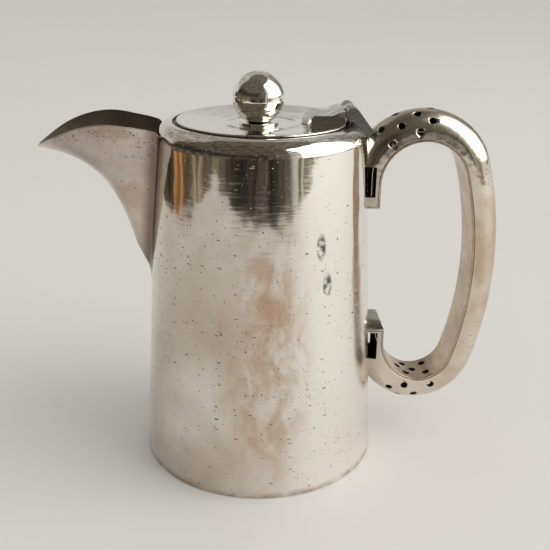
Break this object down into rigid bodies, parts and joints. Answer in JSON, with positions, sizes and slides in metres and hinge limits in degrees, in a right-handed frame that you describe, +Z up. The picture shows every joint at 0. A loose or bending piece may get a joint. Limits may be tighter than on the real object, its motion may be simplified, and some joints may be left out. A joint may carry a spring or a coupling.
{
  "type": "coffee pot",
  "caption": "Tapered silver-plated coffee pot with an open beak spout, a vented hollow handle and a hinged dished lid with a ball finial.",
  "frame": {"origin": "centre of the circular base, on the table", "axes": "+Z up, the spout points to -X, the handle and the lid's hinge are at +X"},
  "size_m": [0.1781, 0.094, 0.154],
  "materials": {
    "silver_body": "mirror silver plate with warm tarnish, small flecks and scratches",
    "silver_lid": "mirror silver plate, lightly scratched",
    "silver_ball": "mirror silver plate",
    "silver_handle": "silver plate with tan tarnish and small pits",
    "silver_spout": "silver plate with warm brown tarnish, darker inside",
    "tarnished_hinge": "dark grey-green tarnished plate",
    "silver_inside": "dull stained plate",
    "silver_underside": "dull worn plate"
  },
  "bodies": {
    "pot": {"body_shell": "silver_body", "base_plate": "silver_underside", "mouth_ring": "silver_inside", "spout": "silver_spout", "handle_outer_shell": "silver_handle", "handle_inner_strip": "silver_handle", "handle_upper_end_plate": "silver_handle", "handle_lower_end_cap": "silver_handle", "hinge_bracket": "tarnished_hinge", "hinge_pin": "tarnished_hinge"},
    "lid": {"hinge_lid_leaf": "tarnished_hinge", "lid_plate": "silver_lid", "lid_skirt": "silver_inside", "finial_collar": "silver_lid", "finial_ball": "silver_ball", "finial_stud": "silver_inside", "finial_washer": "silver_inside", "finial_nut": "silver_inside"}
  },
  "joints": [
    {"name": "lid_hinge", "type": "hinge", "parent": "pot", "child": "lid", "pos_m": [0.0334, 0, 0.1392], "axis": [0, 1, 0], "range_deg": [0, 105]}
  ]
}
